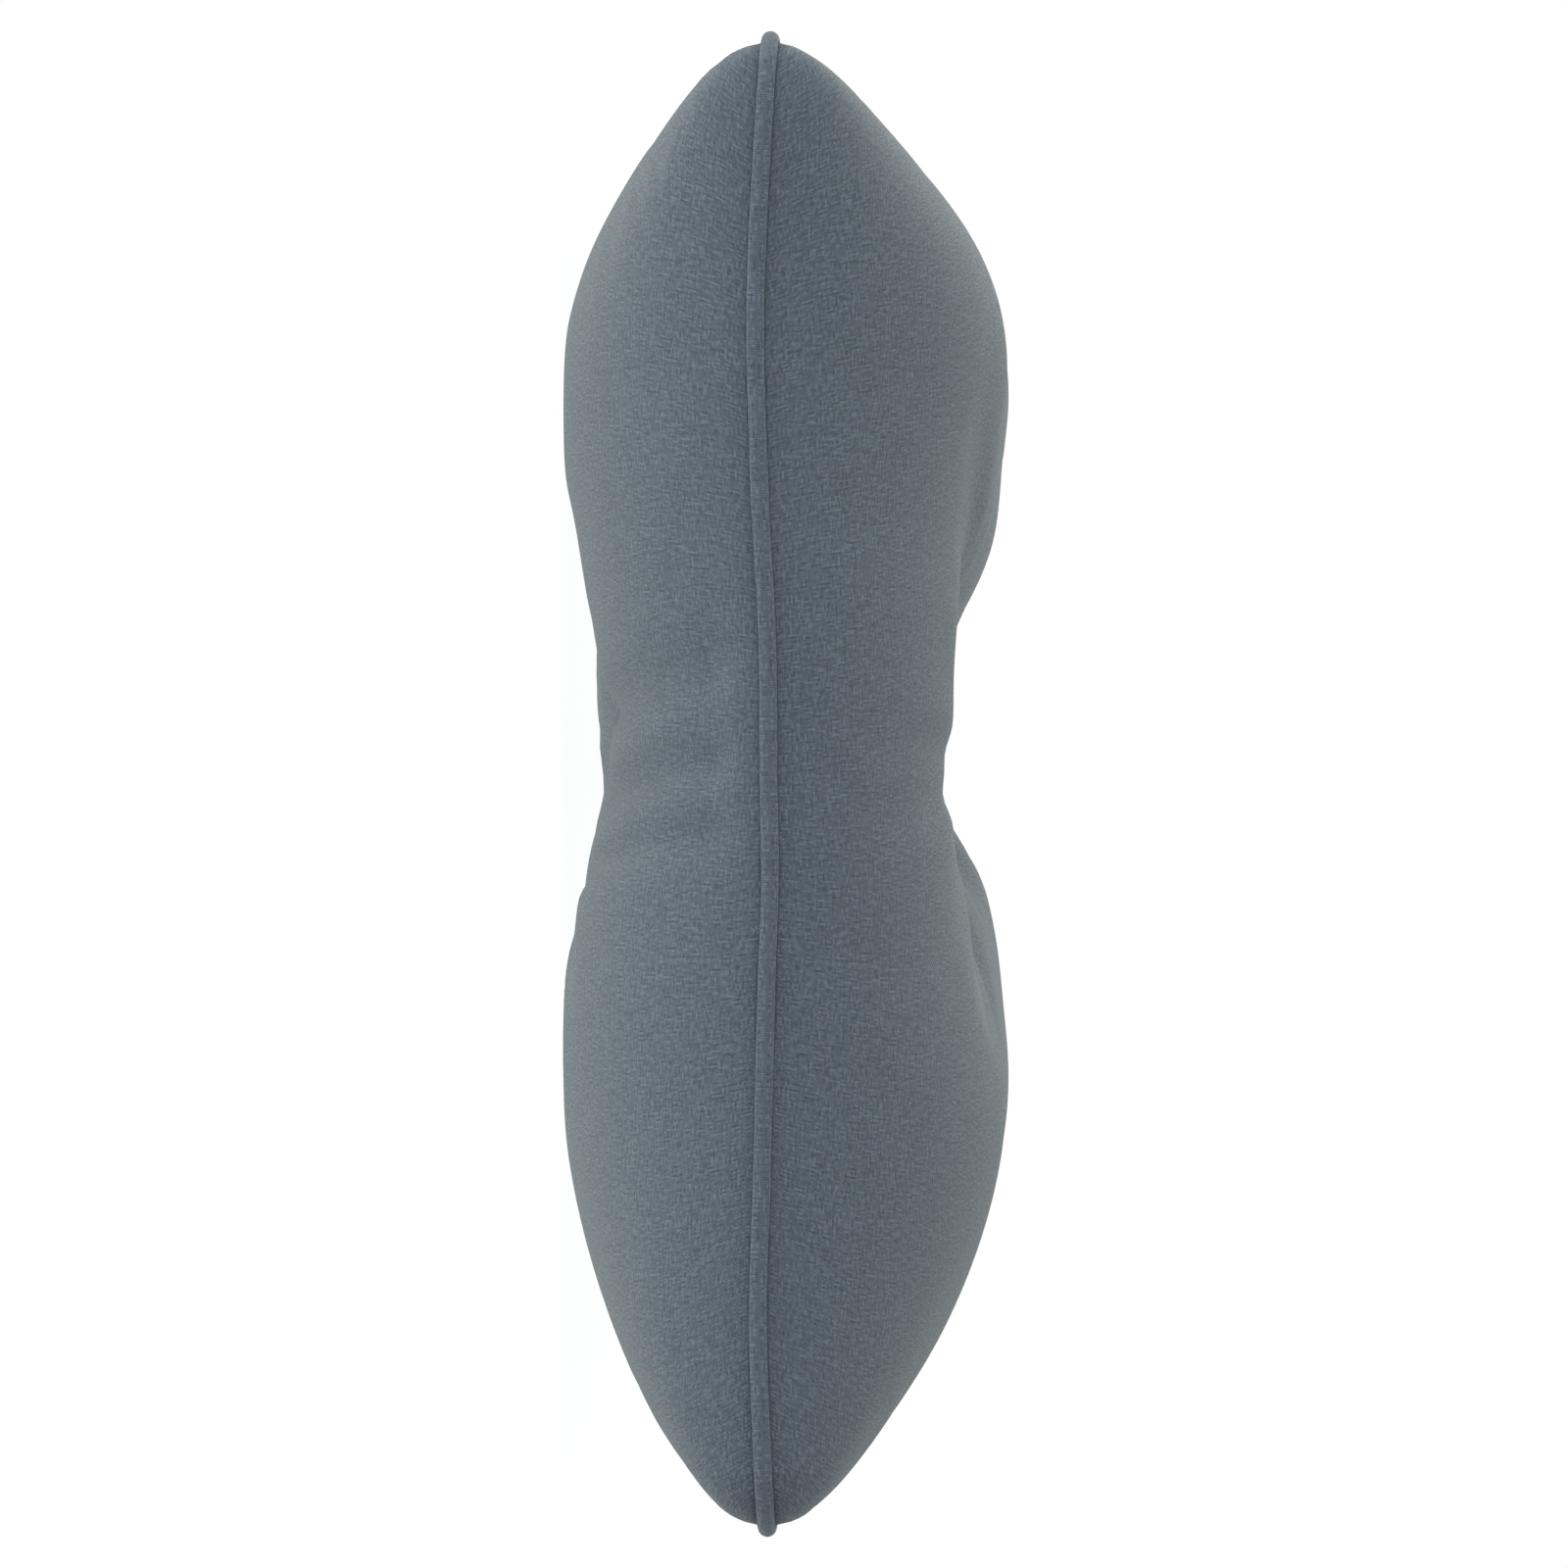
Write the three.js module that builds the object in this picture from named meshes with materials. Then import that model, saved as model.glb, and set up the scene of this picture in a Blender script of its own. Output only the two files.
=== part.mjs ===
import * as THREE from "three";
import { mergeVertices } from "three/addons/utils/BufferGeometryUtils.js";

// A knife-edged back cushion with piping, lying on its back. Millimetres: X runs across
// the width, Y up the height to the top edge and Z out of the front face.

// Overall sizes, measured over the piping
const WIDTH = 610;
const HEIGHT = 560;
const PIPING_DIAMETER = 6.7;

// The seam stands this far above the surface that the cushion lies on
const SEAM_HEIGHT = 79.5;
// Depth over which the back rounds into its flat resting patches
const REST_BLEND = 1.5;

// Plan of the seam: how sharp the corners are and how far each edge is drawn in
const CORNER_POWER = 16;
const SIDE_DRAW_IN = 9;
const END_DRAW_IN = 6;

// Height of the seam above its mean along the left side, where it wanders
const LEFT_SEAM = [
  { y: -277, lift: 1.1 },
  { y: -200, lift: -1.8 },
  { y: -145, lift: -0.4 },
  { y: -72, lift: 1.3 },
  { y: -36, lift: 2.5 },
  { y: 0, lift: 2.0 },
  { y: 54, lift: 1.5 },
  { y: 108, lift: -1.3 },
  { y: 181, lift: -2.7 },
  { y: 277, lift: 2.3 },
];
// The other three edges wander by a plain ripple
const RIPPLE_LIFT = 1.2;
const RIPPLE_LENGTH = 45;
const RIPPLE_TURN = 4;
// Share of the width over which the left side's line gives way to the ripple
const RIPPLE_BLEND = 0.25;
// Distance over which the wander of the seam dies out on the faces
const WANDER_FADE = 60;

// How far each face stands off the seam at mid width, up the height of the cushion.
// Between the left tuft and the left side the front has a fullness of its own.
const FULLNESS = [
  { y: -277, front: 89, back: 91, frontLeft: 89 },
  { y: -200, front: 90, back: 89, frontLeft: 90 },
  { y: -130, front: 92, back: 87, frontLeft: 91 },
  { y: -90, front: 90, back: 86, frontLeft: 88 },
  { y: -60, front: 87.5, back: 83.5, frontLeft: 84 },
  { y: -35, front: 81.5, back: 82, frontLeft: 81.5 },
  { y: -10, front: 68.5, back: 80.5, frontLeft: 80.5 },
  { y: 15, front: 60, back: 80, frontLeft: 81 },
  { y: 40, front: 61, back: 78, frontLeft: 80.5 },
  { y: 65, front: 71.5, back: 76, frontLeft: 80 },
  { y: 95, front: 84.5, back: 78, frontLeft: 79 },
  { y: 130, front: 88, back: 84, frontLeft: 83 },
  { y: 200, front: 92.5, back: 90.5, frontLeft: 92 },
  { y: 248, front: 88, back: 88.5, frontLeft: 88 },
  { y: 277, front: 90, back: 91, frontLeft: 90 },
];
const FULLEST = 93;
const LEFT_STRIP_START = -135;
const LEFT_STRIP_FULL = -195;

// Distance in from each edge over which a face reaches its fullness, and how it rounds
const SIDE_REACH = 165;
const SIDE_ROUNDING = 0.6;
const ENDS = {
  bottom: { front: 178, back: 210, frontRounding: 0.65, backRounding: 0.65 },
  top: { front: 127, back: 163, frontRounding: 0.72, backRounding: 0.68 },
};
// Share of the half height, each way from the middle, over which one end's law gives way
const END_BLEND = 0.25;

// Places where the two faces are stitched through and drawn together
const TUFTS = {
  left: { x: -114, y: 5, front: 0.6, back: 0.6, spread: 40 },
  right: { x: 118, y: -3, front: 0.58, back: 0.62, spread: 42 },
};

// Folds that run out from the tufts, or from beside them by a sideways shift. Bearings turn
// left from +X as seen from the front.
const FOLDS = [
  { face: "front", tuft: "left", bearing: 92, length: 150, width: 18, depth: 4.5, shift: 0 },
  { face: "front", tuft: "left", bearing: 117, length: 165, width: 18, depth: 5, shift: 0 },
  { face: "front", tuft: "left", bearing: 262, length: 120, width: 18, depth: 7, shift: 0 },
  { face: "front", tuft: "left", bearing: 238, length: 125, width: 14, depth: 7, shift: 0 },
  { face: "front", tuft: "left", bearing: 62, length: 120, width: 15, depth: 4, shift: 0 },
  { face: "front", tuft: "left", bearing: 176, length: 170, width: 9, depth: 3, shift: 0 },
  { face: "front", tuft: "left", bearing: 186, length: 165, width: 9, depth: 3.5, shift: 0 },
  { face: "front", tuft: "left", bearing: 2, length: 150, width: 20, depth: 4, shift: 0 },
  { face: "front", tuft: "left", bearing: 328, length: 120, width: 14, depth: 3, shift: 0 },
  { face: "front", tuft: "right", bearing: 86, length: 140, width: 18, depth: 9, shift: 0 },
  { face: "front", tuft: "right", bearing: 275, length: 150, width: 20, depth: 10, shift: 0 },
  { face: "front", tuft: "right", bearing: 182, length: 130, width: 16, depth: 4, shift: 0 },
  { face: "front", tuft: "right", bearing: 4, length: 175, width: 9, depth: 4, shift: 0 },
  { face: "front", tuft: "right", bearing: 354, length: 170, width: 9, depth: 3.5, shift: 0 },
  { face: "front", tuft: "right", bearing: 24, length: 150, width: 12, depth: 3.5, shift: 0 },
  { face: "front", tuft: "right", bearing: 333, length: 160, width: 12, depth: 4, shift: 0 },
  { face: "front", tuft: "right", bearing: 128, length: 110, width: 13, depth: 3, shift: 0 },
  { face: "back", tuft: "left", bearing: 95, length: 130, width: 18, depth: 8, shift: 0 },
  { face: "back", tuft: "left", bearing: 266, length: 150, width: 18, depth: 10, shift: 0 },
  { face: "back", tuft: "left", bearing: 175, length: 330, width: 54, depth: 8, shift: 0 },
  { face: "back", tuft: "left", bearing: 171, length: 320, width: 11, depth: 4.5, shift: -12 },
  { face: "back", tuft: "left", bearing: 172, length: 270, width: 8, depth: 3.5, shift: 21 },
  { face: "back", tuft: "left", bearing: 172, length: 320, width: 9, depth: 3, shift: 48 },
  { face: "back", tuft: "left", bearing: 228, length: 150, width: 12, depth: 3, shift: 0 },
  { face: "back", tuft: "left", bearing: 358, length: 150, width: 20, depth: 6, shift: 0 },
  { face: "back", tuft: "left", bearing: 45, length: 110, width: 14, depth: 3, shift: 0 },
  { face: "back", tuft: "right", bearing: 90, length: 150, width: 18, depth: 9, shift: 0 },
  { face: "back", tuft: "right", bearing: 268, length: 120, width: 18, depth: 8, shift: 0 },
  { face: "back", tuft: "right", bearing: 178, length: 130, width: 16, depth: 4, shift: 0 },
  { face: "back", tuft: "right", bearing: 8, length: 180, width: 9, depth: 4, shift: 0 },
  { face: "back", tuft: "right", bearing: 352, length: 175, width: 9, depth: 4, shift: 0 },
  { face: "back", tuft: "right", bearing: 30, length: 140, width: 12, depth: 3, shift: 0 },
  { face: "back", tuft: "right", bearing: 325, length: 150, width: 12, depth: 4, shift: 0 },
];
// A fold is narrow at the tuft and widens along its length by these shares of its width
const FOLD_START_WIDTH = 0.55;
const FOLD_SPREAD = 0.9;
// Below 1 a fold is deepest nearer to its tuft than to its far end
const FOLD_BELLY = 0.6;
// The cloth rises in a low bank on both sides of a fold
const BANK_WIDTH = 2.2;
const BANK_HEIGHT = 0.32;
// Folds die out over this distance from the seam
const FOLD_FADE = 28;

// Channel of the seam that holds the piping, as angles round the piping from straight in
const SEAM_GAP = 0.32;
const CHANNEL_STEP = 30;
const CHANNEL_ANGLES = [60, 30, 0, -30, -60];

// Fineness of the surfaces
const CELLS_ACROSS = 46;
const CELLS_UP = 42;
const PIPING_SIDES = 8;
// Cells shrink towards the seam: share of the even spacing that is kept
const EVEN_SHARE = 0.45;
// Step across and up by which a face's normal is measured
const PROBE = 0.002;

const COVER_COLOUR = "#616b73";
const PIPING_COLOUR = "#5f6971";
const CLOTH_ROUGHNESS = 0.95;

const radians = THREE.MathUtils.degToRad;
const PIPING_RADIUS = PIPING_DIAMETER / 2;
const CHANNEL_RADIUS = (PIPING_RADIUS + SEAM_GAP) / Math.cos(radians(CHANNEL_STEP / 2));
const LIP_RISE = CHANNEL_RADIUS * Math.sin(radians(CHANNEL_ANGLES[0]));
const LIP_INSET = CHANNEL_RADIUS * Math.cos(radians(CHANNEL_ANGLES[0]));
const SEAM_HALF_WIDTH = WIDTH / 2 - PIPING_RADIUS;
const SEAM_HALF_HEIGHT = HEIGHT / 2 - PIPING_RADIUS;

// Reads one column of a table at a height, with a smooth curve through its rows
function readTable(rows, column, y) {
  const last = rows.length - 1;
  const at = THREE.MathUtils.clamp(y, rows[0].y, rows[last].y);
  const slope = (row) => {
    const below = rows[Math.max(row - 1, 0)];
    const above = rows[Math.min(row + 1, last)];
    return (above[column] - below[column]) / (above.y - below.y);
  };
  let row = 0;
  while (row < last - 1 && rows[row + 1].y <= at) {
    row += 1;
  }
  const step = rows[row + 1].y - rows[row].y;
  const t = (at - rows[row].y) / step;
  const start = rows[row][column] * (1 + 2 * t) * (1 - t) ** 2;
  const end = rows[row + 1][column] * t * t * (3 - 2 * t);
  const bend = step * t * (1 - t) * (slope(row) * (1 - t) - slope(row + 1) * t);
  return start + end + bend;
}

// Plan of the seam before it is brought to size; u and v run from -1 to 1 across and up
function roughPlan(u, v) {
  const cut = 1 / (CORNER_POWER + 1);
  const drawX = (SIDE_DRAW_IN / SEAM_HALF_WIDTH) * (1 - v * v) * u * u;
  const drawY = (END_DRAW_IN / SEAM_HALF_HEIGHT) * (1 - u * u) * v * v;
  const x = u * Math.sqrt(1 - cut * v ** (2 * CORNER_POWER)) * (1 - drawX);
  const y = v * Math.sqrt(1 - cut * u ** (2 * CORNER_POWER)) * (1 - drawY);
  return new THREE.Vector2(x, y);
}

// Positions of the cell edges from -1 to 1, closer together towards the seam
function cellEdges(cells) {
  return Array.from({ length: cells + 1 }, (_, index) => {
    const even = (2 * index) / cells - 1;
    return EVEN_SHARE * even + (1 - EVEN_SHARE) * Math.sin((even * Math.PI) / 2);
  });
}

const ACROSS = cellEdges(CELLS_ACROSS);
const UP = cellEdges(CELLS_UP);
const ROUGH_CORNER = new THREE.Vector2(
  Math.max(...UP.map((v) => roughPlan(1, v).x)),
  Math.max(...ACROSS.map((u) => roughPlan(u, 1).y)),
);

// Plan position of a point of the cushion
function plan(u, v) {
  const rough = roughPlan(u, v).divide(ROUGH_CORNER);
  return rough.multiply(new THREE.Vector2(SEAM_HALF_WIDTH, SEAM_HALF_HEIGHT));
}

// Height of the seam above its mean
function seamLift(u, y) {
  const blend = THREE.MathUtils.smoothstep(u, -1, -1 + 2 * RIPPLE_BLEND);
  const ripple = RIPPLE_LIFT * Math.sin(y / RIPPLE_LENGTH + u * RIPPLE_TURN);
  return readTable(LEFT_SEAM, "lift", y) * (1 - blend) + ripple * blend;
}

// Share of the fullness reached at a distance in from an edge
function rounded(distance, reach, rounding) {
  const left = 1 - THREE.MathUtils.clamp(distance / reach, 0, 1);
  return (1 - left * left) ** rounding;
}

// Fullness of a face, where its left strip and its middle run into each other
function fullness(x, y, face) {
  const middle = readTable(FULLNESS, face, y);
  if (face === "back") {
    return middle;
  }
  const strip = THREE.MathUtils.smoothstep(-x, -LEFT_STRIP_START, -LEFT_STRIP_FULL);
  return THREE.MathUtils.lerp(middle, readTable(FULLNESS, "frontLeft", y), strip);
}

// Depth of one fold at a point of the face, and of the low banks beside it
function foldDepth(fold, x, y) {
  const tuft = TUFTS[fold.tuft];
  const out = new THREE.Vector2(x - tuft.x, y - tuft.y);
  out.rotateAround(new THREE.Vector2(), -radians(fold.bearing));
  const share = THREE.MathUtils.clamp(out.x / fold.length, 0, 1);
  const strength = Math.sin(Math.PI * share ** FOLD_BELLY);
  const width = fold.width * (FOLD_START_WIDTH + FOLD_SPREAD * share);
  const aside = (out.y - fold.shift) / width;
  const trough = Math.exp(-(aside ** 2));
  const bank = Math.exp(-((aside / BANK_WIDTH) ** 2));
  return fold.depth * strength * ((1 + BANK_HEIGHT) * trough - BANK_HEIGHT * bank);
}

// How far a face stands off the seam before its folds are drawn in
function standOff(u, v, x, y, face) {
  const fromSide = Math.max((1 - Math.abs(u)) * SEAM_HALF_WIDTH - LIP_INSET, 0);
  const fromEnd = Math.max((1 - Math.abs(v)) * SEAM_HALF_HEIGHT - LIP_INSET, 0);
  const upShare = THREE.MathUtils.clamp((v / END_BLEND + 1) / 2, 0, 1);
  const endValue = (name) => THREE.MathUtils.lerp(ENDS.bottom[name], ENDS.top[name], upShare);
  const side = rounded(fromSide, SIDE_REACH, SIDE_ROUNDING);
  const end = rounded(fromEnd, endValue(face), endValue(`${face}Rounding`));
  const both = side * end;
  const share = both / Math.sqrt(side * side + end * end - both * both || 1);
  let height = fullness(x, y, face) * share;
  for (const tuft of Object.values(TUFTS)) {
    const away = Math.hypot(x - tuft.x, y - tuft.y);
    height *= 1 - tuft[face] * Math.exp(-away / tuft.spread);
  }
  return LIP_RISE + Math.max(height, 0) * (1 - LIP_RISE / FULLEST);
}

// The back flattens where it lies on the floor
function rested(z) {
  if (z > REST_BLEND) {
    return z;
  }
  return Math.max(z + REST_BLEND, 0) ** 2 / (4 * REST_BLEND);
}

// A point of a face before its folds are drawn in
function smoothPoint(u, v, face) {
  const { x, y } = plan(u, v);
  const fromSide = (1 - Math.abs(u)) * SEAM_HALF_WIDTH;
  const fromEnd = (1 - Math.abs(v)) * SEAM_HALF_HEIGHT;
  const wander = seamLift(u, y) * Math.exp(-Math.min(fromSide, fromEnd) / WANDER_FADE);
  const off = standOff(u, v, x, y, face);
  return new THREE.Vector3(x, y, SEAM_HEIGHT + wander + (face === "front" ? off : -off));
}

// A point of the front or back face. Its folds sink along the normal of the smooth face.
function facePoint(u, v, face) {
  const point = smoothPoint(u, v, face);
  const across = smoothPoint(u + PROBE, v, face).sub(smoothPoint(u - PROBE, v, face));
  const up = smoothPoint(u, v + PROBE, face).sub(smoothPoint(u, v - PROBE, face));
  const normal = across.cross(up).normalize();
  const rowEnd = smoothPoint(u < 0 ? -1 : 1, v, face);
  const columnEnd = smoothPoint(u, v < 0 ? -1 : 1, face);
  const fromSeam = Math.min(point.distanceTo(rowEnd), point.distanceTo(columnEnd));
  const fade = THREE.MathUtils.smoothstep(fromSeam, 0, FOLD_FADE);
  const folds = FOLDS.filter((fold) => fold.face === face);
  const depth = folds.reduce((sum, fold) => sum + foldDepth(fold, point.x, point.y), 0);
  point.addScaledVector(normal, (face === "front" ? -1 : 1) * depth * fade);
  if (face === "back") {
    point.z = rested(point.z);
  }
  return point;
}

// Grid places round the edge, turning left from the middle of the right side
function seamPlaces() {
  const places = [];
  const middle = CELLS_UP / 2;
  for (let row = middle; row < CELLS_UP; row += 1) {
    places.push([CELLS_ACROSS, row]);
  }
  for (let column = CELLS_ACROSS; column > 0; column -= 1) {
    places.push([column, CELLS_UP]);
  }
  for (let row = CELLS_UP; row > 0; row -= 1) {
    places.push([0, row]);
  }
  for (let column = 0; column < CELLS_ACROSS; column += 1) {
    places.push([column, 0]);
  }
  for (let row = 0; row < middle; row += 1) {
    places.push([CELLS_ACROSS, row]);
  }
  return places;
}

// Centre line of the piping through one point for each place round the edge
class SeamLine extends THREE.Curve {
  constructor(points) {
    super();
    this.points = points;
  }

  getPoint(share, target = new THREE.Vector3()) {
    const count = this.points.length;
    const place = share * count;
    const index = Math.floor(place);
    const from = this.points[index % count];
    const to = this.points[(index + 1) % count];
    return target.lerpVectors(from, to, place - index);
  }

  // Steps follow the points, not the length
  getUtoTmapping(share) {
    return share;
  }
}

// Channel section at one point of the seam, from the front lip round to the back lip
function channelSection(line, index) {
  const share = index / line.points.length;
  const along = line.getTangent(share);
  const outward = along.clone().cross(new THREE.Vector3(0, 0, 1)).normalize();
  const upward = outward.clone().cross(along).normalize();
  return CHANNEL_ANGLES.map((angle) => {
    const point = line.points[index].clone();
    point.addScaledVector(outward, -CHANNEL_RADIUS * Math.cos(radians(angle)));
    return point.addScaledVector(upward, CHANNEL_RADIUS * Math.sin(radians(angle)));
  });
}

// The filled cover: front face, back face and the channel between their lips
function cushionGeometry(places, line) {
  const positions = [];
  const triangles = [];
  const addPoint = (point) => positions.push(...point.toArray()) / 3 - 1;
  const addQuad = (a, b, c, d) => triangles.push(a, b, c, a, c, d);

  const rings = places.map((_, index) => channelSection(line, index).map(addPoint));
  const lipAt = new Map(places.map(([column, row], index) => [`${column},${row}`, rings[index]]));
  const faceGrid = (face) => ACROSS.map((u, column) => UP.map((v, row) => {
    const ring = lipAt.get(`${column},${row}`);
    if (ring) {
      return face === "front" ? ring[0] : ring[ring.length - 1];
    }
    return addPoint(facePoint(u, v, face));
  }));
  const front = faceGrid("front");
  const back = faceGrid("back");

  for (let column = 0; column < CELLS_ACROSS; column += 1) {
    for (let row = 0; row < CELLS_UP; row += 1) {
      // Each cell is cut along the diagonal that points to the middle of the cushion
      const leans = (column < CELLS_ACROSS / 2) === (row < CELLS_UP / 2);
      const turn = leans ? 0 : 1;
      const corners = [[0, 0], [1, 0], [1, 1], [0, 1]].map(([right, up]) => [column + right, row + up]);
      const ordered = corners.map((_, index) => corners[(index + turn) % corners.length]);
      addQuad(...ordered.map(([across, up]) => front[across][up]));
      addQuad(...ordered.map(([across, up]) => back[across][up]).reverse());
    }
  }
  rings.forEach((ring, index) => {
    const next = rings[(index + 1) % rings.length];
    for (let step = 0; step < ring.length - 1; step += 1) {
      addQuad(ring[step], ring[step + 1], next[step + 1], next[step]);
    }
  });

  const geometry = new THREE.BufferGeometry();
  geometry.setAttribute("position", new THREE.Float32BufferAttribute(positions, 3));
  geometry.setIndex(triangles);
  geometry.computeVertexNormals();
  return geometry;
}

// One closed round of piping
function pipingGeometry(line) {
  const steps = line.points.length;
  const tube = new THREE.TubeGeometry(line, steps, PIPING_RADIUS, PIPING_SIDES, true);
  tube.deleteAttribute("normal");
  tube.deleteAttribute("uv");
  const welded = mergeVertices(tube);
  welded.computeVertexNormals();
  return welded;
}

function clothMesh(name, geometry, colour) {
  const cloth = { color: colour, roughness: CLOTH_ROUGHNESS, metalness: 0 };
  const mesh = new THREE.Mesh(geometry, new THREE.MeshStandardMaterial(cloth));
  mesh.name = name;
  return mesh;
}

const places = seamPlaces();
const seamLine = new SeamLine(places.map(([column, row]) => {
  const { x, y } = plan(ACROSS[column], UP[row]);
  return new THREE.Vector3(x, y, SEAM_HEIGHT + seamLift(ACROSS[column], y));
}));

const backCushion = new THREE.Group();
backCushion.name = "back_cushion";
backCushion.add(clothMesh("cushion", cushionGeometry(places, seamLine), COVER_COLOUR));
backCushion.add(clothMesh("piping", pipingGeometry(seamLine), PIPING_COLOUR));

export default backCushion;
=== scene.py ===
"""A knife-edged, piped back cushion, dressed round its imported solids.

The cushion lies on its back. Tables are in millimetres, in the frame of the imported
model: X across the width, Y up the height to the top edge, Z out of the front face.
Everything that is built is in metres.
"""

import logging
import math
from dataclasses import dataclass
from enum import Enum
from typing import Any, Sequence

import bpy
import numpy as np
from mathutils import Matrix, Vector

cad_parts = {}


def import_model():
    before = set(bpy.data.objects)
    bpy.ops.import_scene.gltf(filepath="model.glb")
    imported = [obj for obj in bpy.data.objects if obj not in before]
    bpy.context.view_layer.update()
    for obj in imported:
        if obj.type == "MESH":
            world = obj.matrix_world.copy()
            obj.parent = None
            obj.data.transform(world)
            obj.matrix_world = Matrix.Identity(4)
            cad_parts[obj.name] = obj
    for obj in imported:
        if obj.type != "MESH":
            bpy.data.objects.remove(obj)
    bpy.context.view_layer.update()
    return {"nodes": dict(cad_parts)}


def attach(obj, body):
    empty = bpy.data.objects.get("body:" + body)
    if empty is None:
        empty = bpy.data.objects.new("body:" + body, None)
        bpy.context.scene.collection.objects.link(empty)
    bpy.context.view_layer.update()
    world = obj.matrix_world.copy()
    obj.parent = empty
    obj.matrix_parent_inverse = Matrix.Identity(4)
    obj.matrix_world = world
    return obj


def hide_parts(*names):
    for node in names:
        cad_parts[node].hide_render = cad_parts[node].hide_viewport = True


MM = 0.001
TINY = 1e-9
BODY = "root"
CLOTH_UV = "cloth_metres"
CORD_UV = "cord_metres"
WHITE = (1, 1, 1, 1)
BLACK = (0, 0, 0, 1)

# The sRGB curve: where its straight foot ends, the slope of the foot, and the offset and
# power of the curve above it
SRGB_FOOT = 0.04045
SRGB_SLOPE = 12.92
SRGB_OFFSET = 0.055
SRGB_POWER = 2.4

# Settings that many nodes share
MIX_VALUES = {"data_type": "FLOAT"}
MULTIPLY_ADD = {"operation": "MULTIPLY_ADD"}
FLAT_NOISE = {"noise_dimensions": "2D"}

Socket = bpy.types.NodeSocket

log = logging.getLogger("back_cushion")


class Side(Enum):
    """The two faces of the cushion."""

    FRONT = "front"
    BACK = "back"


@dataclass(frozen=True)
class SeamRow:
    """How far the seam stands above its mean at one height up the left side."""

    y: float
    lift: float


@dataclass(frozen=True)
class FullRow:
    """How far each face stands off the seam at one height, midway across.

    The front's strip left of the left tuft has a value of its own.
    """

    y: float
    front: float
    back: float
    front_left: float


@dataclass(frozen=True)
class EndRow:
    """How far in from one end each face reaches its fullness, and its rounding."""

    front: float
    back: float
    front_rounding: float
    back_rounding: float


@dataclass(frozen=True)
class Tuft:
    """A place where the two faces are stitched through and drawn together."""

    x: float
    y: float
    front: float
    back: float
    spread: float


@dataclass(frozen=True)
class Fold:
    """A fold that runs out from a tuft, or from a little aside of it.

    The bearing, in degrees, turns left from +X, seen from the front.
    """

    tuft: int
    bearing: float
    length: float
    width: float
    depth: float
    shift: float = 0.0


LEFT_SEAM = (
    SeamRow(-277, 1.1),
    SeamRow(-200, -1.8),
    SeamRow(-145, -0.4),
    SeamRow(-72, 1.3),
    SeamRow(-36, 2.5),
    SeamRow(0, 2.0),
    SeamRow(54, 1.5),
    SeamRow(108, -1.3),
    SeamRow(181, -2.7),
    SeamRow(277, 2.3),
)

FULLNESS = (
    FullRow(-277, 89, 91, 89),
    FullRow(-200, 90, 89, 90),
    FullRow(-130, 92, 87, 91),
    FullRow(-90, 90, 86, 88),
    FullRow(-60, 87.5, 83.5, 84),
    FullRow(-35, 81.5, 82, 81.5),
    FullRow(-10, 68.5, 80.5, 80.5),
    FullRow(15, 60, 80, 81),
    FullRow(40, 61, 78, 80.5),
    FullRow(65, 71.5, 76, 80),
    FullRow(95, 84.5, 78, 79),
    FullRow(130, 88, 84, 83),
    FullRow(200, 92.5, 90.5, 92),
    FullRow(248, 88, 88.5, 88),
    FullRow(277, 90, 91, 90),
)

BOTTOM_END = EndRow(178, 210, 0.65, 0.65)
TOP_END = EndRow(127, 163, 0.72, 0.68)

TUFTS = (
    Tuft(-114, 5, 0.60, 0.60, 40),
    Tuft(118, -3, 0.58, 0.62, 42),
)

FOLDS = {
    Side.FRONT: (
        Fold(0, 92, 150, 18, 4.5),
        Fold(0, 117, 165, 18, 5),
        Fold(0, 262, 120, 18, 7),
        Fold(0, 238, 125, 14, 7),
        Fold(0, 62, 120, 15, 4),
        Fold(0, 176, 170, 9, 3),
        Fold(0, 186, 165, 9, 3.5),
        Fold(0, 2, 150, 20, 4),
        Fold(0, 328, 120, 14, 3),
        Fold(1, 86, 140, 18, 9),
        Fold(1, 275, 150, 20, 10),
        Fold(1, 182, 130, 16, 4),
        Fold(1, 4, 175, 9, 4),
        Fold(1, 354, 170, 9, 3.5),
        Fold(1, 24, 150, 12, 3.5),
        Fold(1, 333, 160, 12, 4),
        Fold(1, 128, 110, 13, 3),
    ),
    Side.BACK: (
        Fold(0, 95, 130, 18, 8),
        Fold(0, 266, 150, 18, 10),
        Fold(0, 175, 330, 54, 8),
        Fold(0, 171, 320, 11, 4.5, -12),
        Fold(0, 172, 270, 8, 3.5, 21),
        Fold(0, 172, 320, 9, 3, 48),
        Fold(0, 228, 150, 12, 3),
        Fold(0, 358, 150, 20, 6),
        Fold(0, 45, 110, 14, 3),
        Fold(1, 90, 150, 18, 9),
        Fold(1, 268, 120, 18, 8),
        Fold(1, 178, 130, 16, 4),
        Fold(1, 8, 180, 9, 4),
        Fold(1, 352, 175, 9, 4),
        Fold(1, 30, 140, 12, 3),
        Fold(1, 325, 150, 12, 4),
    ),
}


def linear_colour(hex_text: str) -> tuple[float, float, float, float]:
    """Turns an sRGB colour to linear light.

    Args:
        hex_text: The colour as "#rrggbb".

    Returns:
        Linear red, green, blue and an alpha of 1.
    """
    linear = []
    for start in (1, 3, 5):
        part = int(hex_text[start : start + 2], 16) / 255
        foot = part / SRGB_SLOPE
        curve = ((part + SRGB_OFFSET) / (1 + SRGB_OFFSET)) ** SRGB_POWER
        linear.append(foot if part <= SRGB_FOOT else curve)
    return (*linear, 1.0)


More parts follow.
